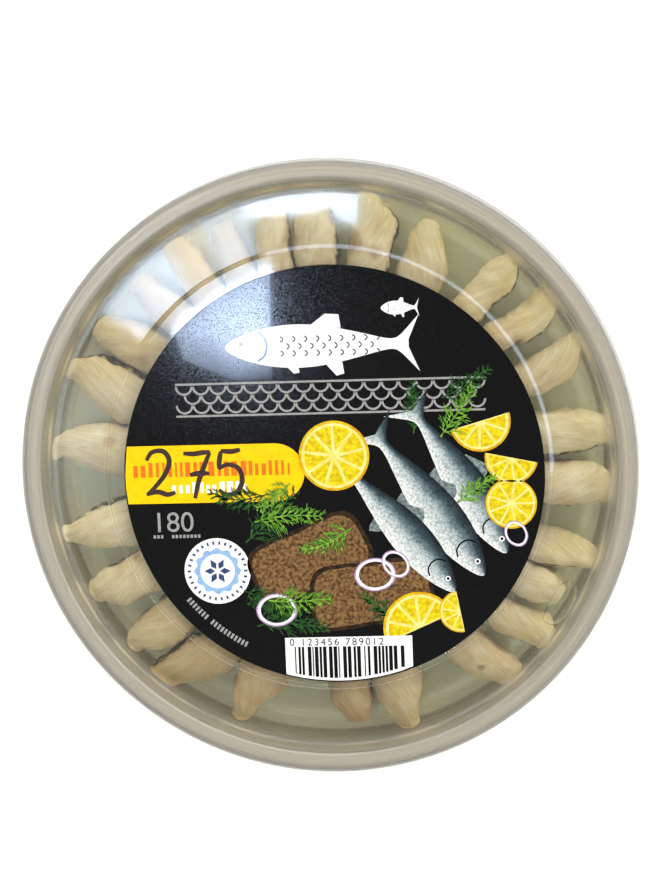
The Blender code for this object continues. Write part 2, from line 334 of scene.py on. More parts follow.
wall_lean = 10.0                    # degrees from upright
lean_share = math.tan(math.radians(wall_lean))
lean_width = math.cos(math.radians(wall_lean))
brim_radius, brim_height = 70.2, 20.8   # mm, the top of the wall's inside
tub_floor = 1.8                     # mm, height of its inside
wall_thickness = 0.9                # mm
rounding = 4.5                      # mm, inside, between floor and wall
flat_middle = 30.0                  # mm; within this radius tub, oil and lid are flat discs


def wall_radius(height):
    """Inside radius in mm of the tub's leaning wall."""
    return brim_radius - (brim_height - height) * lean_share


corner_height = tub_floor + rounding
corner = (wall_radius(corner_height) - rounding / lean_width, corner_height)

tub = turn_section("tub_shell", [
    (flat_middle, 0.8), (55.6, 0.8), (56.0, 0.75), (56.7, 0.1), (57.0, 0.0),
    (61.0, 0.0), (61.3, 0.1), (61.9, 0.75),
] + arc(corner, rounding + wall_thickness, -96.0, -wall_lean, 10) + [
    (wall_radius(19.5) + wall_thickness / lean_width, 19.5),
] + arc((71.28, 19.5), 0.4, 180.0, 90.0, 3) +
    arc((73.2, 20.2), 0.3, -90.0, 0.0, 3) +
    arc((73.1, 20.4), 0.4, 0.0, 90.0, 3) +
    arc((70.7, 20.3), 0.5, 90.0, 180.0 - wall_lean, 4) +
    arc(corner, rounding, -wall_lean, -90.0, 12) + [(flat_middle, tub_floor)])
# Clear polypropylene, thermoformed: thin, glossy, a little milky, and slightly wavy. Its
# wall, which forming has stretched, is glassier than its floor
tub.data.materials.append(clear_material(
    "clear thermoformed polypropylene", "#D4D0B9", "#EFEFE6", roughness=0.30, ior=1.49, gloss=0.5,
    wave_mm=9.0, wave_depth=0.02, formed_beyond=66.0, formed_roughness=0.18,
    formed_tint="#D3CCBD", edge_tint="#CAC6BD", milk=0.2))
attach(tub, "root")
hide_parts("tub")


# Herring. Skinned fillet of salted herring, cut across into pieces as wide as a finger. They
# lie side by side as a ring, tips against the wall, and reach in under the label. The flesh
# is creamy and a little glassy from the oil, drawn out lengthways in fine fibres, yellower
# in places, with dark meat and shreds of skin left along each piece's clockwise side; that
# dark edge is also painted crevice shade. Painted shade darkens whole pieces on the left and
# at the bottom of the ring.
measured_at = (0.0, 0.35, 0.65, 0.88)   # shares of the way from the label's edge to the tip
label_edge = 52.0                   # mm from the axis
inner_taper = 38.0                  # mm from the axis; further in, a piece rounds off
wall = 68.7                         # reach of a tip that leans on the tub's wall
tip_fall, inner_fall = 1.3, 1.2     # mm that a piece's top slopes down to its ends
section_power = 2 / 3.3             # what makes its section fuller than an ellipse
resting_gap = 0.3                   # mm between the tub's inside and a piece
least_thickness = 1.0               # mm
highest_top, top_spread = 15.2, 1.2     # mm, how high the pieces lie and how far that differs
most_lift = 0.4                     # mm, how far a piece is held off the floor at most
flake_width = 2.8                   # mm
ring_of_pieces = (
    # angles in degrees of the anticlockwise side, of the clockwise side, and of the tip; reach
    # of the tip and of the inner end in mm; how yellow, how pink, how much painted shade darkens
    # it, how dark its clockwise side is with skin and painted crevice shade
    ((15.5, 14.5, 13.5, 12), (3.5, 4, 4.5, 5.5), 8.5, wall, 22, 0.35, 0.25, 0, 1),
    ((29.5, 29.5, 29.5, 29.5), (20, 20, 21.5, 25.5), 28.5, wall, 13, 0.6, 0.35, 0.1, 0.3),
    ((43, 41, 41, 41), (34, 33, 33.5, 35.5), 39, wall, 25, 0.6, 0.35, 0.1, 0.9),
    ((54, 53, 52.5, 51), (44.5, 45, 45, 47), 49, wall, 14, 0.75, 0.2, 0.1, 1),
    ((71.5, 71, 71, 70), (58.5, 60, 63, 65.5), 67.5, 65, 24, 0.5, 0.2, 0.2, 0),
    ((85, 85, 84.5, 84), (73.5, 74, 75, 79), 82.5, 67.5, 13, 0.4, 0.3, 0.1, 1),
    ((99.5, 99, 98.5, 97), (87.5, 88, 89, 90.5), 94, 63.5, 26, 0.5, 0.3, 0.2, 0.8),
    ((110, 108.5, 107.5, 106), (100, 100, 99.5, 100), 103, 64, 14, 0.6, 0.2, 0.2, 0.5),
    ((119.5, 118.5, 118, 117), (110.5, 111, 111.5, 112.5), 114.5, 65, 27, 0.45, 0.2, 0.8, 0.3),
    ((130.5, 129.5, 129, 128), (120, 121, 121.5, 122.5), 125.5, 67, 13, 0.4, 0.3, 0.7, 0.3),
    ((141, 140.5, 140, 139.5), (131, 132, 133, 134), 137, 66, 25, 0.45, 0.25, 0.9, 0.3),
    ((154, 153.5, 153, 151.5), (141.5, 143, 145, 146.5), 149.5, 67, 14, 0.65, 0.2, 0.5, 0.3),
    ((169, 166.5, 164, 161.5), (154.5, 154, 155, 157), 159.5, wall, 23, 0.65, 0.2, 0.3, 1),
    ((183.5, 181.5, 180, 179), (169.5, 170.5, 172, 174), 177.5, wall, 12, 0.3, 0.25, 0.15, 0.1),
    ((203.5, 201.5, 199.5, 197.5), (189.5, 190.5, 192, 193.5), 195, wall, 24, 0.35, 0.2, 0, 0.9),
    ((217.5, 216, 214.5, 211.5), (204.5, 205, 205.5, 206.5), 209, 68, 13, 0.25, 0.4, 0.1, 0.6),
    ((231.5, 230.5, 228.5, 225), (219, 219, 219.5, 220.5), 223, 68, 22, 0.3, 0.25, 0.6, 0.4),
    ((246, 244, 240, 236), (233, 230.5, 229.5, 229), 232, wall, 14, 0.4, 0.2, 1, 1.2),
    ((260.5, 258, 254.5, 253), (246, 246, 247.5, 249), 250.5, 68, 23, 0.45, 0.4, 0.9, 0.2),
    ((280.5, 280.5, 280, 279), (270, 270, 271.5, 273.5), 276.5, 65, 13, 0.35, 0.8, 1.4, 0.3),
    ((293.5, 293, 291, 289.5), (281.5, 281.5, 283, 284.5), 287.5, 68, 26, 0.5, 0.25, 0.7, 0.4),
    ((312.5, 313, 314, 314), (301, 302.5, 305, 307.5), 311.5, wall, 14, 0.4, 0.35, 0.5, 0.6),
    ((324, 324.5, 325.5, 325), (315, 316, 317.5, 319.5), 322, wall, 25, 0.55, 0.25, 0.2, 0.7),
    ((335.5, 335.5, 335.5, 334), (326, 326, 327, 328.5), 331.5, 65, 13, 0.25, 0.25, 0, 0.7),
    ((345.5, 345.5, 345, 344), (336, 336, 337.5, 339), 341.5, wall, 24, 0.5, 0.3, 0.1, 0.8),
    ((362.5, 362.5, 362, 360.5), (351, 351.5, 352.5, 353.5), 356.5, wall, 12, 0.25, 0.45, 0, 0.6),
)
brown_spots = (
    # angle, radius and reach in mm, strength
    (84.0, 55.0, 4.2, 0.8), (78.0, 54.0, 3.0, 0.6), (99.0, 56.0, 3.2, 0.5),
    (34.5, 55.5, 2.2, 1.0), (60.0, 53.5, 4.0, 0.4), (150.0, 53.0, 3.5, 0.5),
    (173.5, 54.0, 2.6, 0.6), (271.0, 56.0, 5.0, 0.4), (279.0, 55.0, 3.0, 0.3),
    (307.6, 61.5, 1.3, 1.2), (345.5, 54.5, 3.0, 0.4), (258.0, 54.0, 2.5, 0.4),
    (21.0, 54.0, 2.0, 0.5), (243.0, 54.0, 3.0, 0.4), (4.4, 60.5, 1.0, 0.9),
    (4.2, 57.5, 0.9, 1.0), (206.0, 53.0, 2.0, 0.5),
)


def tub_inside_height(radius):
    """Height in mm of the tub's inside at a radius: floor, rounding, then wall."""
    reach = radius - corner[0]
    if reach <= 0.0:
        return tub_floor
    if reach < rounding * lean_width:
        return corner_height - math.sqrt(rounding ** 2 - reach ** 2)
    return brim_height - (brim_radius - radius) / lean_share


def side_angle(angles, along):
    """Angle of a piece's side: a smooth line through the angles at the measured places."""
    along = min(max(along, 0.0), measured_at[-1])
    total = 0.0
    for place, angle in zip(measured_at, angles):
        for other in measured_at:
            if other != place:
                angle *= (along - other) / (place - other)
        total += angle
    return math.radians(total)


def bounded(value):
    """A value kept between 0 and 1."""
    return min(max(value, 0.0), 1.0)


def round_off(share, power):
    """How much is left of a size where an end rounds off: all at share 0, nothing at 1."""
    return math.sqrt(max(0.0, 1.0 - share ** power))


def swollen(value, power):
    """A value from -1 to 1, drawn towards the nearer end by a power below 1."""
    return math.copysign(abs(value) ** power, value)


def beside_spoke(angle, radius, across, height):
    """The point that lies at a radius along a spoke of the ring and so far beside it, in mm."""
    outward = Vector((math.cos(angle), math.sin(angle)))
    return Vector((radius * outward.x - across * outward.y,
                   radius * outward.y + across * outward.x, height)) * MM


def brownness(place):
    """How brown the flesh is at a place: as brown as the spot that colours it most."""
    return max(0.0, *(strength * (1.0 - (place - Vector(polar(1.0, angle)) * radius).length / reach)
                      for angle, radius, reach, strength in brown_spots))


def add_ball(name, segments, rings):
    """Add a ball of radius 1, to be shaped into a piece."""
    bpy.ops.mesh.primitive_uv_sphere_add(segments=segments, ring_count=rings, radius=1.0)
    made = bpy.context.object
    made.name = made.data.name = name
    return made


def keep_flesh(mesh, fibres, **looks):
    """Keep what the flesh's material reads: where each point lies along and across the fibres,
    in mm, and its looks, each a number for the whole piece or a list with one for each point."""
    layer = mesh.uv_layers.new(name="fibre")
    for loop in mesh.loops:
        layer.data[loop.index].uv = [part * 0.1 for part in fibres[loop.vertex_index]]
    for name, level in looks.items():
        store(mesh, name, level if isinstance(level, list) else [level] * len(mesh.vertices))


def shape_piece(mesh, number, shape, top, lift):
    """Shape a ball into one herring piece, in the place it has in the ring."""
    far_side, near_side, tip_angle, reach, start, yellow, pink, dull, skin = shape
    draw = random.Random(100 + number)
    slant = draw.uniform(0.15, 0.5) * draw.choice((-1, 1, 1))
    crest = draw.uniform(-0.5, 0.3)         # where the piece is highest, across its width
    roof = draw.uniform(0.5, 1.1)           # how far its top falls to the sides, in mm
    tilt = draw.uniform(-0.35, 0.35)        # how far it lies tilted across, in mm
    fibres, browned, skin_and_crevice_shade = [], [], []
    for vertex in mesh.vertices:
        x, y, z = vertex.co
        radius = start + (reach - start) * (1.0 + z) / 2
        along = max(0.0, (radius - label_edge) / (reach - label_edge))
        inward = max(0.0, (inner_taper - radius) / (inner_taper - start))
        tipward = max(0.0, (along - measured_at[-1]) / (1.0 - measured_at[-1]))
        far, near = side_angle(far_side, along), side_angle(near_side, along)
        angle = (far + near) / 2
        angle += (math.radians(tip_angle) - angle) * tipward
        half_width = (far - near) / 2 * radius * round_off(tipward, 2.6) * round_off(inward, 6)
        turn = math.atan2(y, x)
        side = swollen(math.cos(turn), section_power)
        rise = swollen(math.sin(turn), section_power)
        inside = tub_inside_height(math.hypot(radius, half_width * 0.8) + 0.35)
        bottom = max(tub_floor + lift, inside) + resting_gap
        upper = top - tip_fall * along ** 3 - inner_fall * inward
        bottom = min(bottom, upper - least_thickness)
        half_height = (upper - bottom) / 2 * (round_off(along, 9) * round_off(inward, 8))
        across = side * half_width
        # the cut edge is jagged, the flakes stand out a little, and the whole is uneven
        swell = min(1.0, half_width / 2.0)
        lump = noise.noise(Vector((radius / 5.0, side * 1.2, number * 7.7 + rise)))
        shred = noise.noise(Vector((radius / 1.5, across / 1.5, number * 5.3 + rise * 1.5)))
        flake = (radius + abs(across) * 0.5 + 2.0 * lump) / flake_width % 1.0
        groove = max(0.0, 1.0 - abs(flake - 0.5) * 7.0)
        across += side * (0.7 * lump + 0.42 * shred) * swell
        fall = max(0.0, rise) * swell * (roof * abs(side - crest) ** 1.8 - tilt * side)
        height = (bottom + upper) / 2 + rise * half_height - fall
        height -= rise * swell * (0.09 * groove + 0.45 * abs(lump) + 0.3 * abs(shred))
        vertex.co = beside_spoke(angle, radius, across, height)
        # each piece has a stretch of the fibres' map to itself
        fibres.append((radius + number * 17.0,
                       across + rise * 3.0 + slant * (radius - label_edge)))
        browned.append(brownness(vertex.co.xy / MM))
        # dark skin along the clockwise edge, fading towards the tip; it also paints the crevice shade there
        skin_and_crevice_shade.append(skin * bounded((-side - 0.84) / 0.12) * bounded((1.15 - along) / 0.5))
    keep_flesh(mesh, fibres, brown=browned, skin=skin_and_crevice_shade, yellow=yellow, pink=pink, dull=dull)


# Salted herring flesh under oil: soft and creamy, lets light some way in, and hardly shines
herring_flesh, tree, shader, place = new_material("oiled herring flesh", {
    "Roughness": 0.5, "Specular IOR Level": 0.2, "Subsurface Weight": 0.3,
    "Subsurface Radius": (1.0, 0.65, 0.38), "Subsurface Scale": 1.2 * MM})
fibre_map = add_node(tree, "UVMap", {}, uv_map="fibre").outputs["UV"]


def mix(tree, share, first, second, blend="MIX"):
    """Mix two colours or colour sockets by a share."""
    return add_node(tree, "Mix", {0: share, 6: first, 7: second}, data_type="RGBA",
                    blend_type=blend).outputs[2]


def kept_level(name):
    """A number that the mesh keeps for each point, as a socket."""
    return add_node(tree, "Attribute", {}, attribute_name=name).outputs["Fac"]


def noise_share(vector, scale, low, high, times=None, detail=3.0):
    """Noise spread from 0 to 1 between two of its levels, times a kept level if it is named."""
    share = spread(tree, uneven(tree, vector, scale, detail), low, high)
    return calculate(tree, "MULTIPLY", share, kept_level(times)) if times else share


colour = mix(tree, noise_share(place, 190.0, 0.35, 0.65), linear("#DCD0BA"), linear("#E7DDCB"))
colour = mix(tree, noise_share(place, 110.0, 0.38, 0.66, "yellow", 2.0), colour, linear("#E4CF9C"))
colour = mix(tree, noise_share(place, 150.0, 0.42, 0.62, "pink"), colour, linear("#D6B59C"))
# Painted shade: whole pieces are darkened, most on the left and at the bottom of the ring
colour = mix(tree, kept_level("dull"), colour, linear("#D2C6B4"), "MULTIPLY")
# Fibres about 0.5 mm wide and 4 mm long, drawn coarser than the real 0.1 mm so that they show,
# and broader streaks of 2 by 8 mm between the bundles, which the relief follows
for stretch, dark in (((2.5, 20.0, 1.0), "#F1EDE5"), ((1.25, 5.0, 1.0), "#F2EEE4")):
    drawn_out = add_node(tree, "VectorMath", {0: fibre_map, 1: stretch}, operation="MULTIPLY")
    fibre = noise_share(drawn_out.outputs[0], 1.0, 0.36, 0.62)
    colour = mix(tree, 1.0, colour, mix(tree, fibre, linear(dark), linear("#FFFFFF")), "MULTIPLY")
# The second dark colour is skin that also stands for painted crevice shade along each piece's clockwise
# side
for name, scale, low, high, from_level, to_level, dark in (
        ("brown", 420.0, 0.0, 1.0, 0.05, 0.5, "#6E4A2B"),
        ("skin", 520.0, 0.34, 0.60, 0.12, 0.6, "#4A4230")):
    share = spread(tree, noise_share(place, scale, low, high, name), from_level, to_level)
    colour = mix(tree, share, colour, linear(dark))
bump = add_node(tree, "Bump", {"Height": fibre, "Distance": 0.04 * MM, "Strength": 0.4})
set_inputs(tree, shader, {"Base Color": colour, "Normal": bump.outputs["Normal"]})

flesh_pieces = []
ring_draw = random.Random(11)
for number, shape in enumerate(ring_of_pieces):
    top = highest_top - top_spread * ring_draw.random()
    lift = most_lift * ring_draw.uniform(0.1, 1.0)
    piece = add_ball(f"herring_piece_{number + 1:02d}", 56, 84)
    shape_piece(piece.data, number, shape, top, lift)
    turn_faces_outward()
    bpy.ops.object.shade_smooth()
    flesh_pieces.append(piece)

# The middle of the heap: one round slice under the label, which the inner ends lean on
middle_radius, middle_height, middle_thickness = 21.0, 7.6, 10.4    # mm
middle_piece = add_ball("herring_middle", 48, 24)
mesh = middle_piece.data
for vertex in mesh.vertices:
    x, y, z = vertex.co
    turn = math.degrees(math.atan2(y, x))
    waver = noise.noise(Vector((*polar(2, turn), 0.0)))
    radius = middle_radius * math.hypot(x, y) ** 0.5 * (1.0 + 0.07 * waver)
    lump = noise.noise(Vector((x * 3.0, y * 3.0, z)))
    height = middle_height + swollen(z, 0.6) * (middle_thickness / 2 + 0.5 * lump)
    vertex.co = Vector((*polar(radius, turn), height)) * MM
spots = [vertex.co / MM for vertex in mesh.vertices]
keep_flesh(mesh, [(spot.x + spot.y * 0.6, spot.z) for spot in spots],
           brown=0.0, skin=0.0, yellow=0.4, pink=0.4, dull=0.0)
bpy.ops.object.shade_smooth()
flesh_pieces.append(middle_piece)

for piece in flesh_pieces:
    piece.data.materials.append(herring_flesh)
    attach(piece, "root")
    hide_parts("herring")


# Oil. Refined sunflower oil, poured over the pieces until it stands against the lid. It
# reaches a little way into the tub and the lid, so that no air shows between them.
into_wall = 0.05                    # mm
oil_level = 18.6                    # mm, how high it stands between the tub's wall and the lid's
lid_gap = 0.05                      # mm between these two walls
lid_thickness = 0.7                 # mm
lid_shift = lid_gap / lean_width    # from the tub's inside out to the lid's wall
recess_underside = 15.7             # mm, height
step_underside = ((54.65, 16.5), (54.6, 16.2), (53.75, 15.95), (53.7, recess_underside))
shelf_rounding = 0.9                # mm, on top, between shelf and wall
shelf_fillet = (wall_radius(shelf_top + shelf_rounding)
                - (lid_gap + lid_thickness + shelf_rounding) / lean_width,
                shelf_top + shelf_rounding)
oil = turn_section("oil", [
    (flat_middle, tub_floor - into_wall),
] + arc(corner, rounding + into_wall, -90.0, -wall_lean, 12) + [
    (wall_radius(oil_level) + into_wall, oil_level),
    (wall_radius(oil_level - 0.05) - 0.03, oil_level - 0.1),
    (wall_radius(oil_level) - lid_shift - into_wall, oil_level),
] + arc(shelf_fillet, shelf_rounding + lid_thickness - into_wall, -wall_lean, -90.0, 8) + [
    (radius - into_wall, height + into_wall) for radius, height in step_underside
] + [(flat_middle, recess_underside + into_wall)])
# Sunflower oil: clear, yellow with a touch of green, and hardly shining inside the plastic
oil.data.materials.append(clear_material(
    "sunflower oil", "#F5F6EA", "#FBFBF4", roughness=0.0, ior=1.47, gloss=0.1))
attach(oil, "root")

# One air bubble, left under the lid between two tips when the pack was shut
bubble_angle = math.radians(330.5)
bubble_radius, bubble_height = 65.3, 15.75  # mm, where its middle lies
bubble_width, bubble_length = 5.4, 12.0     # mm
bubble_bend = 0.012                 # per mm; its ends follow the tub's wall
bubble = add_ball("air_bubble", 48, 24)
for vertex in bubble.data.vertices:
    x, y, z = (swollen(part, 0.8) for part in vertex.co)
    across = bubble_length / 2 * y
    outward = bubble_radius + bubble_width / 2 * x - bubble_bend * across ** 2
    height = bubble_height + (0.72 if z > 0 else 0.9) * z
    vertex.co = beside_spoke(bubble_angle, outward, across, height)
bpy.ops.object.shade_smooth()
# Air inside oil bends light the other way: its IOR is 1 over the oil's
bubble.data.materials.append(clear_material(
    "air in oil", "#FFFFFF", "#FFFFFF", roughness=0.0, ior=0.68, gloss=0.5))
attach(bubble, "root")


# Lid. Clear polypropylene, thermoformed: a recess for the label, a step, a flat shelf, and
# a rim bead that snaps over the tub's flange. A skirt hangs from the bead.
lid_top, lid_edge = 22.0, 74.6      # mm, height and radius of the bead
inner_bend, outer_bend = 1.3, 1.7   # mm, radii of the bead's roundings
crown_height = lid_top - inner_bend
crown = (wall_radius(crown_height) + (inner_bend - lid_gap - lid_thickness) / lean_width,
         crown_height)
recess_top = recess_underside + lid_thickness
lid = turn_section("lid_shell", [
    (flat_middle, recess_top), (53.6, recess_top), (53.66, 16.44), (53.7, 16.64), (54.6, 16.88),
    (54.64, 17.12), (54.74, shelf_top),
] + arc(shelf_fillet, shelf_rounding, -90.0, -wall_lean, 8) +
    arc(crown, inner_bend, 180.0 - wall_lean, 90.0, 8) + [
    (71.7, 21.98), (71.8, 21.86), (71.95, 21.8), (72.25, 21.8), (72.4, 21.86), (72.5, 21.98),
] + arc((lid_edge - outer_bend, lid_top - outer_bend), outer_bend, 90.0, 0.0, 10) + [
    (74.72, 18.8), (74.85, 17.2), (74.98, 15.5),
] + arc((74.65, 15.55), 0.35, 0.0, -180.0, 6) + [
    (73.95, 17.6), (73.85, 18.0), (73.45, 18.35), (73.3, 18.6), (73.45, 18.85),
    (73.85, 19.2), (73.9, 19.6),
] + arc((73.3, 20.5), 0.6, 0.0, 90.0, 5) + [
    (70.9, 21.1),
] + arc((wall_radius(20.6) - lid_shift + 0.5, 20.6), 0.5, 90.0, 180.0 - wall_lean, 5) +
    arc(shelf_fillet, shelf_rounding + lid_thickness, -wall_lean, -90.0, 8) +
    [*step_underside, (flat_middle, recess_underside)])
# Clear polypropylene, thermoformed: glassier than the tub, with slight drawing waves
lid.data.materials.append(clear_material(
    "clear thermoformed lid polypropylene", "#F2F2EE", "#F9F9F6", roughness=0.04, ior=1.49,
    gloss=0.5, wave_mm=7.0, wave_depth=0.012, formed_beyond=67.6, formed_roughness=0.35,
    formed_tint="#DAD6CE", edge_tint="#A5A199"))
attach(lid, "root")
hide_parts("lid")


# Label. A round of plastic film, printed and varnished, stuck to the floor of the lid's
# recess. Its ground is black, and all that is printed on it is turned a little.
label_middle = Vector((1.25, -1.6)) # mm from the tub's axis
label_place = (label_middle.x * MM, label_middle.y * MM)
label_radius, label_bevel = 51.3, 0.1
label_bottom, label_top = 16.45, 16.9
print_turn = 2.2                    # degrees anticlockwise
bpy.ops.mesh.primitive_circle_add(vertices=round_steps, radius=label_radius * MM, fill_type="NGON",
                                  location=(*label_place, label_bottom * MM))
label = bpy.context.object
label.name = label.data.name = "label_film"
bpy.ops.object.transform_apply()
edit_whole()
for rise in (label_top - label_bevel - label_bottom, label_bevel):
    bpy.ops.mesh.extrude_region_move(TRANSFORM_OT_translate={"value": (0.0, 0.0, rise * MM)})
narrowing = (label_radius - label_bevel) / label_radius
bpy.ops.transform.resize(value=(narrowing, narrowing, 1.0),
                         center_override=(*label_place, 0.0))
turn_faces_outward()
bpy.ops.object.shade_smooth_by_angle(angle=sharp_from)


def varnished(name, varnish):
    """Start an ink: its varnish, and a fine grain that breaks up what the varnish mirrors."""
    made, tree, shader, place = new_material(name, {"Specular IOR Level": 0.35})
    set_inputs(tree, shader, {"Roughness": spread(
        tree, uneven(tree, place, 3300.0, 2.0), 0.45, 0.75, varnish, varnish + 0.20)})
    return made, tree, shader, place


def printed_ink(name, first, second, grain_mm, varnish=0.02):
    """Printing ink under the label's gloss varnish: two near colours in an uneven grain."""
    made, tree, shader, place = varnished(name, varnish)
    set_inputs(tree, shader, {"Base Color": ramp(
        tree, uneven(tree, place, 1.0 / (grain_mm * MM)),
        [(0.36, linear(first)), (0.64, linear(second))])})
    return made


black_ink = printed_ink("black ink on film", "#040404", "#080707", 1.2)
label.data.materials.append(black_ink)
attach(label, "root")
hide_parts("label")


# Print. Inks laid on the film one over the other, each a thin flat shape just above the
# last: plain ornaments and figures, and a picture of fish, bread, lemon, onion and dill.
ink_depth = 0.02
middle = (0.0, 0.0)


def place_on_label(x, y, centre=middle, turn=0.0, scale=1.0):
    """Turn and shift a point, in mm from the label's middle, with the whole print."""
    place = Vector((x * scale, y * scale))
    place.rotate(Matrix.Rotation(math.radians(turn), 2))
    place += Vector(centre)
    place.rotate(Matrix.Rotation(math.radians(print_turn), 2))
    return place


def lift_to_layer(layer):
    """Shrink the selected flat shape from mm to metres and lift it to its layer of ink."""
    bpy.ops.transform.resize(value=(MM, MM, MM), center_override=(0.0, 0.0, 0.0))
    height = label_top + ink_depth * (layer + 0.6)
    bpy.ops.transform.translate(value=(*label_place, height * MM))
    bpy.ops.object.transform_apply()


def finish_ink(layer, ink):
    """Lift the active shape to its layer, close its edges and give it its ink."""
    lift_to_layer(layer)
    edit_whole()
    bpy.ops.mesh.remove_doubles(threshold=0.002 * MM)
    turn_faces_outward()
    made = bpy.context.object
    made.data.materials.append(ink)
    return made


def lay_ink(outlines, layer, ink, centre=middle, turn=0.0, scale=1.0, smooth=False):
    """Lay closed outlines, in mm from the label's middle, as one flat shape with thickness."""
    bpy.ops.curve.primitive_bezier_circle_add()
    curve = bpy.context.object.data
    curve.dimensions = "2D"
    curve.fill_mode = "BOTH"
    curve.extrude = ink_depth / 2
    curve.resolution_u = 8
    curve.splines.clear()
    for outline in outlines:
        spline = curve.splines.new("BEZIER" if smooth else "POLY")
        points = spline.bezier_points if smooth else spline.points
        points.add(len(outline) - 1)
        for point, (x, y) in zip(points, outline):
            place = place_on_label(x, y, centre, turn, scale)
            point.co = (*place, 0.0) if smooth else (*place, 0.0, 1.0)
            if smooth:
                point.handle_left_type = point.handle_right_type = "AUTO"
        spline.use_cyclic_u = True
    bpy.ops.object.convert(target="MESH")
    return finish_ink(layer, ink)


def lay_figures(figures, size, spacing, left, low, layer, ink):
    """Lay plain figures as a mesh, from their left lower corner in mm."""
    bpy.ops.object.text_add()
    text = bpy.context.object.data
    text.body = figures
    text.size = size
    text.space_character = spacing
    text.extrude = ink_depth / 2
    bpy.ops.object.convert(target="MESH")
    for vertex in bpy.context.object.data.vertices:
        vertex.co.xy = place_on_label(vertex.co.x + left, vertex.co.y + low)
    return finish_ink(layer, ink)


def join_print(name, parts):
    """Join the shapes of one part of the print, and let it ride with the pack."""
    bpy.ops.object.select_all(action="DESELECT")
    for part in parts:
        part.select_set(True)
    bpy.context.view_layer.objects.active = parts[0]
    if len(parts) > 1:
        bpy.ops.object.join()
    whole = bpy.context.object
    whole.name = whole.data.name = name
    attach(whole, "root")
    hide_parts("label")


def ring_outline(radius, steps=48, wobble=0.0):
    """Points of a circle, or of a rounded star when it wobbles."""
    return [polar(radius + wobble * math.cos(12 * math.tau * step / steps), 360.0 * step / steps)
            for step in range(steps)]


def bar_outline(left, low, right, high):
    """Points of an upright box."""
    return [(left, low), (right, low), (right, high), (left, high)]


def line_outline(points, width):
    """Points round a line of some width: out along its left side, back along its right."""
    left, right = [], []
    for place, (x, y) in enumerate(points):
        before = Vector(points[max(0, place - 1)])
        after = Vector(points[min(len(points) - 1, place + 1)])
        along = (after - before).normalized()
        local = width[place] if isinstance(width, list) else width
        left.append((x - along.y * local / 2, y + along.x * local / 2))
        right.append((x + along.y * local / 2, y - along.x * local / 2))
    return left + right[::-1]


def smooth_line(points, steps):
    """Points of a smooth line through some points, with so many steps between two."""
    line = []
    for before, start, end, after in zip((points[0],) + points[:-2], points, points[1:],
                                         points[2:] + (points[-1],)):
        for step in range(steps):
            share = step / steps
            line.append(tuple(
                0.5 * (2 * b + (c - a) * share + (2 * a - 5 * b + 4 * c - d) * share ** 2
                       + (3 * b - a - 3 * c + d) * share ** 3)
                for a, b, c, d in zip(before, start, end, after)))
    return line + [points[-1]]


white_ink = printed_ink("white ink on film", "#E6E4E0", "#EFEDEA", 0.8)
grey_ink = printed_ink("grey ink on film", "#8B8985", "#9C9A96", 0.8)

# A plain slender fish, from its nose to the fork of its tail: place along it and half its
# height, both as shares of its length
fish_profile = smooth_line((
    (0.0, 0.004), (0.015, 0.022), (0.06, 0.046), (0.13, 0.072), (0.22, 0.094), (0.34, 0.106),
    (0.46, 0.102), (0.58, 0.084), (0.70, 0.058), (0.80, 0.034), (0.86, 0.026), (0.90, 0.040),
    (0.95, 0.088), (1.0, 0.140)), 5)

# The large white ornament: one long plain fish with fins, and a small one above its tail.
# Their outlines are one unit long, and the tail's fork is cut in
white_parts = []
for centre, size, thickness in (((-1.4, 31.9), 47.0, 1.05), ((17.7, 40.5), 9.2, 1.7)):
    upper = [(along - 0.5, half * thickness) for along, half in fish_profile]
    body = upper + [(0.445, 0.02), (0.445, -0.02)] + [(x, -y) for x, y in upper[::-1]]
    fins = [[(x, y * thickness) for x, y in fin] for fin in (
        ((-0.08, 0.085), (0.02, 0.155), (0.09, 0.15), (0.10, 0.085)),
        ((0.01, -0.085), (0.07, -0.15), (0.11, -0.14), (0.10, -0.075)),
        ((-0.20, -0.085), (-0.15, -0.135), (-0.12, -0.13), (-0.13, -0.09)))]
    gill = line_outline(smooth_line(((-0.325, 0.075), (-0.295, 0.04), (-0.285, 0.0),
                                     (-0.30, -0.045), (-0.335, -0.07)), 4), 0.012)
    marks = [[(x, y * thickness) for x, y in gill],
             [(x * 0.012 - 0.42, y * 0.012 + 0.018) for x, y in ring_outline(1.0, 16)]]
    for row, rise in enumerate((0.035, 0.0, -0.035)):
        for place in range(9 - row % 2):
            start = -0.20 + 0.062 * place + 0.031 * (row % 2)
            marks.append(line_outline([(start - 0.014 * bend ** 2, (rise + 0.014 * bend) * thickness)
                                       for bend in (1.0, 0.5, 0.0, -0.5, -1.0)], 0.006))
    white_parts += [lay_ink([body], 0, white_ink, centre, 0.0, size),
                    lay_ink(fins, 1, white_ink, centre, 0.0, size),
                    lay_ink(marks, 2, black_ink, centre, 0.0, size)]
join_print("print_white_fish", white_parts)

# The thin grey ornament below them: three rows of scallops between two lines
scallops = [bar_outline(-37.7, 23.0, 37.4, 23.5), bar_outline(-37.7, 15.2, 37.4, 15.7)]
for row, top in enumerate((22.7, 20.4, 18.1)):
    for place in range(18 - row % 2):
        across = -35.55 + 4.18 * (place + row % 2 / 2)
        scallops.append(line_outline(arc((across, top), 1.93, 180.0, 360.0, 10), 0.5))
join_print("print_grey_scallops", [lay_ink(scallops, 0, grey_ink)])

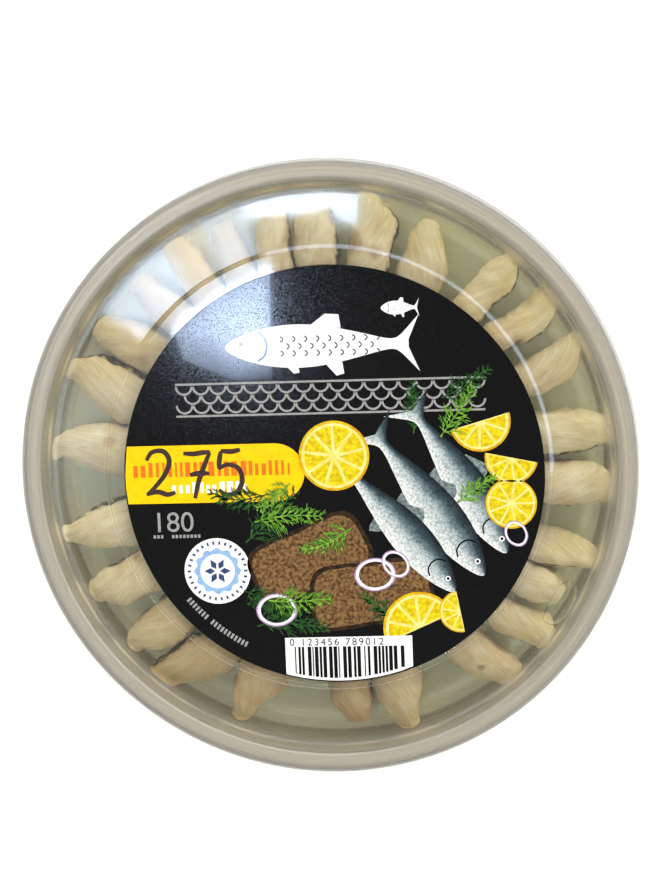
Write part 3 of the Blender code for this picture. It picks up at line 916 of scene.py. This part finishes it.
# The yellow band from the label's left edge, with two rows of bars and a number written on
# it with a felt pen
yellow_ink = printed_ink("warm yellow ink on film", "#EDBB03", "#F5C704", 2.5)
orange_ink = printed_ink("orange ink on film", "#E0661A", "#E8741F", 0.8)
pen_ink = printed_ink("dark felt pen", "#2A1712", "#3A241A", 0.8, 0.45)
band_middle = (0.0, 1.2)
band = [(-50.6, -7.15)] + arc((-14.0, 0.0), 7.15, -90.0, 90.0, 18) + [
    (-50.3, 7.15), (-50.75, 3.0), (-51.0, 0.0), (-51.0, -3.0)]
band_parts = [lay_ink([band], 0, yellow_ink, band_middle)]
bar_draw = random.Random(5)
for left, right, low, high, ink in ((-49.0, -10.5, -0.6, 3.0, orange_ink),
                                    (-39.6, -21.8, -4.7, -2.0, white_ink)):
    bars = []
    while left < right:
        width = bar_draw.uniform(0.5, 1.5)
        bars.append(bar_outline(left, low, left + width, high - bar_draw.choice((0.0, 0.0, 0.7))))
        left += width + bar_draw.uniform(0.55, 0.9)
    band_parts.append(lay_ink(bars, 1, ink, band_middle))
pen_strokes = (
    ((-45.6, 3.6), (-44.2, 5.6), (-41.4, 5.8), (-40.0, 3.6), (-41.0, 0.4), (-43.6, -2.8),
     (-45.8, -4.9)),
    ((-46.0, -4.8), (-43.2, -4.2), (-40.8, -4.9), (-38.8, -4.4)),
    ((-36.4, 5.2), (-34.0, 5.0), (-31.6, 5.3), (-29.8, 5.4)),
    ((-29.9, 5.3), (-31.4, 2.0), (-33.0, -2.0), (-34.0, -6.0)),
    ((-35.0, -0.2), (-32.8, 0.2), (-30.2, 0.1)),
    ((-22.4, 5.8), (-24.6, 5.4), (-27.2, 5.6)),
    ((-27.1, 5.5), (-27.6, 3.4), (-27.8, 1.2)),
    ((-27.9, 1.2), (-25.6, 2.2), (-23.0, 1.2), (-22.2, -1.8), (-23.6, -4.6), (-26.2, -5.2),
     (-28.0, -4.0)),
)
for place, stroke in enumerate(pen_strokes):
    line = smooth_line(stroke, 6)
    widths = [0.6 + 0.65 * math.sin(math.pi * (0.12 + 0.76 * step / (len(line) - 1)))
              for step in range(len(line))]
    band_parts.append(lay_ink([line_outline(line, widths)], 2 + place % 3 * 0.3, pen_ink,
                              band_middle))
join_print("print_yellow_band", band_parts)

# The net weight in plain figures, with a row of small bars below it
small_bars = [bar_outline(-44.8 + step * 0.92, -14.6, -44.2 + step * 0.92, -13.8)
              for step in range(13) if step not in (3, 4)]
join_print("print_weight", [lay_ink(small_bars, 0, grey_ink),
                            lay_figures("180", 7.0, 1.0, -45.0, -13.0, 0, grey_ink)])

# The white seal: a light blue rosette inside a ring of short strokes
blue_ink = printed_ink("light blue ink on film", "#7FA3C9", "#93B4D6", 0.9)
navy_ink = printed_ink("dark blue ink on film", "#2C3B5C", "#3A4A6E", 0.8)
seal = (-29.3, -23.0)
strokes = [line_outline([polar(reach, angle) for reach in (6.6, 7.4)], 0.5)
           for angle in range(0, 360, 12)]
petals = [[polar(reach, angle + turn) for turn, reach in ((0, 0.6), (-24, 1.9), (0, 3.3), (24, 1.9))]
          for angle in range(0, 360, 60)]
join_print("print_seal", [
    lay_ink([ring_outline(8.2, 64)], 0, white_ink, seal),
    lay_ink(strokes, 1, navy_ink, seal),
    lay_ink([ring_outline(5.5, 96, 0.35), ring_outline(4.3)], 1, blue_ink, seal),
    lay_ink(petals, 1, navy_ink, seal),
])

# The short row of bars that follows the label's edge, below the seal
arc_bars = [line_outline([polar(reach, 219.4 + step * 1.2) for reach in (46.7, 48.1)], 0.55)
            for step in range(19) if step != 7]
join_print("print_edge_bars", [lay_ink(arc_bars, 0, grey_ink)])

# The white box with a bar code, which the label's edge cuts off, and plain figures over it
box = [(-13.3, -40.0), (-13.3, -49.1)] + [
    (x, -math.sqrt(50.9 ** 2 - x ** 2)) for x in range(-12, 18, 3)] + [(18.0, -47.5), (18.0, -39.8)]
code_draw = random.Random(29)
module = 0.29                       # mm, the narrowest bar
bars, left = [], -11.0
while left < 15.6:
    right = left + module * code_draw.choice((1, 1, 2, 3))
    low = -math.sqrt(50.6 ** 2 - max(abs(left), abs(right)) ** 2) + 0.35
    bars.append(bar_outline(left, low, right, -42.3))
    left = right + module * code_draw.choice((1, 1, 2, 3))
join_print("print_bar_code", [
    lay_ink([box], 9, white_ink), lay_ink(bars, 10, black_ink),
    lay_figures("0 123456 789012", 2.5, 1.32, -12.2, -42.0, 10, black_ink)])

# The picture's bread: two slices of dark rye, each a crust with a coarser crumb inside
crumb_ink = printed_ink("rye crumb in print", "#48311B", "#86653E", 0.8)
crust_ink = printed_ink("dark crust in print", "#1B120A", "#3A2817", 1.5)
crust = [(-14.5, -6.6), (-7.0, -7.9), (0.0, -7.5), (7.0, -8.0), (14.0, -6.6), (15.2, 0.0),
         (13.6, 6.6), (7.0, 8.3), (0.0, 8.0), (-7.0, 8.4), (-13.4, 6.9), (-15.0, 0.0)]
crumb = [(x * 0.93, y * 0.88) for x, y in crust]
bread_parts = []
for layer, centre, turn in ((0, (-6.5, -20.5), 24.0), (2, (8.5, -29.5), 6.0)):
    bread_parts += [lay_ink([crust], layer, crust_ink, centre, turn, smooth=True),
                    lay_ink([crumb], layer + 1, crumb_ink, centre, turn, smooth=True)]
join_print("print_bread", bread_parts)


# The picture's fish: three silver herrings, dark along the back and pale along the belly
def silver_skin_ink(stops, scale_mm):
    """Ink whose colour runs across a shape by its UV map, broken by fine dark scales."""
    made, tree, shader, place = varnished("silver herring skin in print", 0.02)
    print_map = add_node(tree, "UVMap", {}, uv_map="print").outputs["UV"]
    across = add_node(tree, "SeparateXYZ", {"Vector": print_map}).outputs["Y"]
    waver = calculate(tree, "MULTIPLY_ADD", uneven(tree, place, 330.0), 0.24, -0.12)
    base = ramp(tree, calculate(tree, "ADD", across, waver),
                [(at, linear(code)) for at, code in stops])
    scales = add_node(tree, "TexVoronoi", {"Vector": place, "Scale": 1.0 / (scale_mm * MM)})
    shade = ramp(tree, scales.outputs["Distance"],
                 [(0.30, linear("#FFFFFF")), (0.80, linear("#C2C6C4"))])
    set_inputs(tree, shader, {"Base Color": mix(tree, 1.0, base, shade, "MULTIPLY")})
    return made


herring_ink = silver_skin_ink((
    (0.02, "#F0EFE8"), (0.22, "#D5D8D4"), (0.45, "#B4BDBD"), (0.62, "#6E7F84"),
    (0.78, "#39474E"), (0.97, "#1B2429")), 0.6)
fin_ink = printed_ink("fish fins in print", "#4E5A5E", "#87938F", 0.9)
fish_thickness = 1.05
eye_middle = (0.42, 0.014)
last_row = len(fish_profile) - 1
herring_parts = []
for layer, centre, heading, size, bend in ((4.0, (30.0, -1.0), -58.0, 44.0, 0.08),
                                           (5.6, (22.5, -6.5), -54.0, 46.0, 0.05),
                                           (7.2, (15.0, -12.5), -50.0, 43.0, 0.07)):
    fins = [[(x, y * fish_thickness + bend * (0.25 - x * x)) for x, y in fin] for fin in (
        ((0.09, 0.085), (0.07, 0.13), (0.03, 0.155), (-0.02, 0.125), (-0.08, 0.09), (-0.09, 0.06)),
        ((-0.02, -0.08), (-0.04, -0.11), (-0.08, -0.145), (-0.10, -0.12), (-0.12, -0.06)))]
    herring_parts.append(lay_ink(fins, layer, fin_ink, centre, heading, size))
    bpy.ops.mesh.primitive_grid_add(x_subdivisions=last_row, y_subdivisions=12, size=2.0)
    body = bpy.context.object
    mesh = body.data
    layer_map = mesh.uv_layers.active
    layer_map.name = "print"
    for loop in mesh.loops:
        x, y = mesh.vertices[loop.vertex_index].co.xy
        layer_map.data[loop.index].uv = ((x + 1) / 2, (y + 1) / 2)
    for vertex in mesh.vertices:
        x, y = vertex.co.xy
        along, half = fish_profile[round((x + 1) / 2 * last_row)]
        along -= 0.06 * (1.0 - abs(y)) * bounded((along - 0.86) / 0.14)
        rise = y * half * fish_thickness + bend * (0.25 - (along - 0.5) ** 2)
        vertex.co.xy = place_on_label(0.5 - along, rise, centre, heading, size)
    lift_to_layer(layer + 0.6)
    edit_whole()
    bpy.ops.mesh.extrude_region_move(TRANSFORM_OT_translate={"value": (0.0, 0.0, ink_depth * MM)})
    turn_faces_outward()
    mesh.materials.append(herring_ink)
    herring_parts.append(body)
    gill = [(x, y + bend * (0.25 - x * x)) for x, y in smooth_line(
        ((0.335, 0.066), (0.300, 0.04), (0.290, 0.0), (0.305, -0.04), (0.340, -0.058)), 4)]
    herring_parts.append(lay_ink([line_outline(gill, 0.009)], layer + 1.6, black_ink, centre,
                                 heading, size))
    lift = eye_middle[1] + bend * (0.25 - eye_middle[0] ** 2)
    for radius, ink, rise in ((0.0150, white_ink, 1.6), (0.0085, black_ink, 2.2)):
        eye = [(x + eye_middle[0], y + lift) for x, y in ring_outline(radius, 20)]
        herring_parts.append(lay_ink([eye], layer + rise, ink, centre, heading, size))
join_print("print_silver_fish", herring_parts)

# The picture's lemons: slices seen from above, whole or half
lemon_ink = printed_ink("lemon flesh in print", "#BFA204", "#E6CE1C", 1.0)
rind_ink = printed_ink("lemon rind in print", "#C68E04", "#DDB408", 1.6)
pith_ink = printed_ink("lemon pith in print", "#DACA62", "#E8DC8C", 1.6)


def lemon_slice(centre, radius, turn, half, layer):
    """A lemon slice, whole or half: rind, pith and wedges of flesh."""
    span, count, rim_points = (180.0, 5, 41) if half else (360.0, 9, 40)
    rims = [arc(middle, radius * part, 0.0, span, 40)[:rim_points] for part in (1.0, 0.93)]
    wedges = []
    for wedge in range(count):
        start, end = span * wedge / count + 2.6, span * (wedge + 1) / count - 2.6
        wedges.append([polar(radius * 0.14, (start + end) / 2)]
                      + arc(middle, radius * 0.85, start, end, 6))
    return [lay_ink([rims[0]], layer, rind_ink, centre, turn),
            lay_ink([rims[1]], layer + 0.6, pith_ink, centre, turn),
            lay_ink(wedges, layer + 1.2, lemon_ink, centre, turn)]


lemon_parts = []
for lemon in (((0.5, 5.0), 8.6, 12.0, False, 8.4), ((36.0, 12.6), 7.4, 196.0, True, 8.4),
              ((43.3, 3.6), 6.4, 168.0, True, 8.4), ((43.0, -7.6), 6.2, 40.0, False, 8.4),
              ((20.0, -38.0), 9.0, 24.0, True, 6.6), ((30.0, -34.0), 5.2, 100.0, True, 8.0)):
    lemon_parts += lemon_slice(*lemon)
join_print("print_lemon", lemon_parts)

# The picture's onion: thin rings of red onion, white with a mauve edge
mauve_ink = printed_ink("onion edge in print", "#8C6C8E", "#B094AE", 1.0)
onion_ink = printed_ink("onion in print", "#D9CFD8", "#EEE8EC", 1.2)
onion_parts = []
for centre, radius, layer in (((9.5, -24.5), 4.6, 10.4), ((14.6, -22.0), 3.4, 11.2),
                              ((-15.0, -33.0), 4.6, 6.0), ((44.0, -15.0), 3.0, 11.8)):
    rims = [[(x * 1.12, y * 0.9) for x, y in ring_outline(radius * part, 40)]
            for part in (1.0, 0.93, 0.78)]
    onion_parts += [lay_ink(rims[:2], layer, mauve_ink, centre, radius * 40.0),
                    lay_ink(rims[1:], layer, onion_ink, centre, radius * 40.0)]
join_print("print_onion", onion_parts)

# The picture's dill: feathery sprigs in dark and in fresh green
dark_dill_ink = printed_ink("dark green dill in print", "#16351A", "#2F5F22", 1.2)
dill_ink = printed_ink("fresh green dill in print", "#3D7420", "#7FAE38", 1.0)


def dill_sprig(start, heading, length, draw):
    """A dill sprig: a bent stem with pairs of side stems, all set with fine threads."""
    def stem(foot, reach, angle, widths):
        """Add a straight stem from its foot, and give its tip."""
        step_x, step_y = polar(reach, angle)
        tip = (foot[0] + step_x, foot[1] + step_y)
        outlines.append(line_outline([foot, tip], widths))
        return tip

    outlines, foot, angle = [], start, heading
    for step in range(10):
        angle += draw.uniform(-8.0, 8.0)
        foot = stem(foot, length / 10, angle, [0.40, 0.32])
        for side in (-1, 1):
            lean = angle + side * draw.uniform(30.0, 55.0)
            reach = length * 0.34 * (1.0 - step / 13) * draw.uniform(0.7, 1.1)
            stem(foot, reach * 0.8, lean, [0.26, 0.14])
            for thread in range(6):
                fork = lean + draw.choice((-1, 1)) * draw.uniform(18.0, 42.0)
                step_x, step_y = polar(reach * (0.15 + 0.14 * thread), lean)
                stem((foot[0] + step_x, foot[1] + step_y), reach * 0.38, fork, [0.26, 0.10])
    return outlines


dill_draw = random.Random(17)
dill_parts = []
for ink, layer, sprigs in (
        (dark_dill_ink, 3.6, (((-22.0, -16.0), 40.0, 17.0), ((-16.0, -4.0), 200.0, 14.0),
                              ((-20.0, -37.0), 20.0, 17.0), ((-8.0, -36.0), 160.0, 14.0),
                              ((27.0, 18.5), 20.0, 13.0), ((16.0, -37.0), 150.0, 12.0),
                              ((20.0, 10.0), 80.0, 12.0), ((-23.0, -28.0), -20.0, 12.0))),
        (dill_ink, 11.0, (((-19.5, -11.0), 20.0, 16.0), ((26.5, 9.0), 62.0, 14.0),
                          ((-17.0, -30.5), -12.0, 15.0), ((30.0, -7.0), 35.0, 11.0),
                          ((4.0, -13.0), 205.0, 13.0), ((-10.5, -1.5), 225.0, 10.0)))):
    outlines = []
    for sprig in sprigs:
        outlines += dill_sprig(*sprig, dill_draw)
    for part in range(4):
        dill_parts.append(lay_ink(outlines[part::4], layer + part * 0.25, ink))
join_print("print_dill", dill_parts)
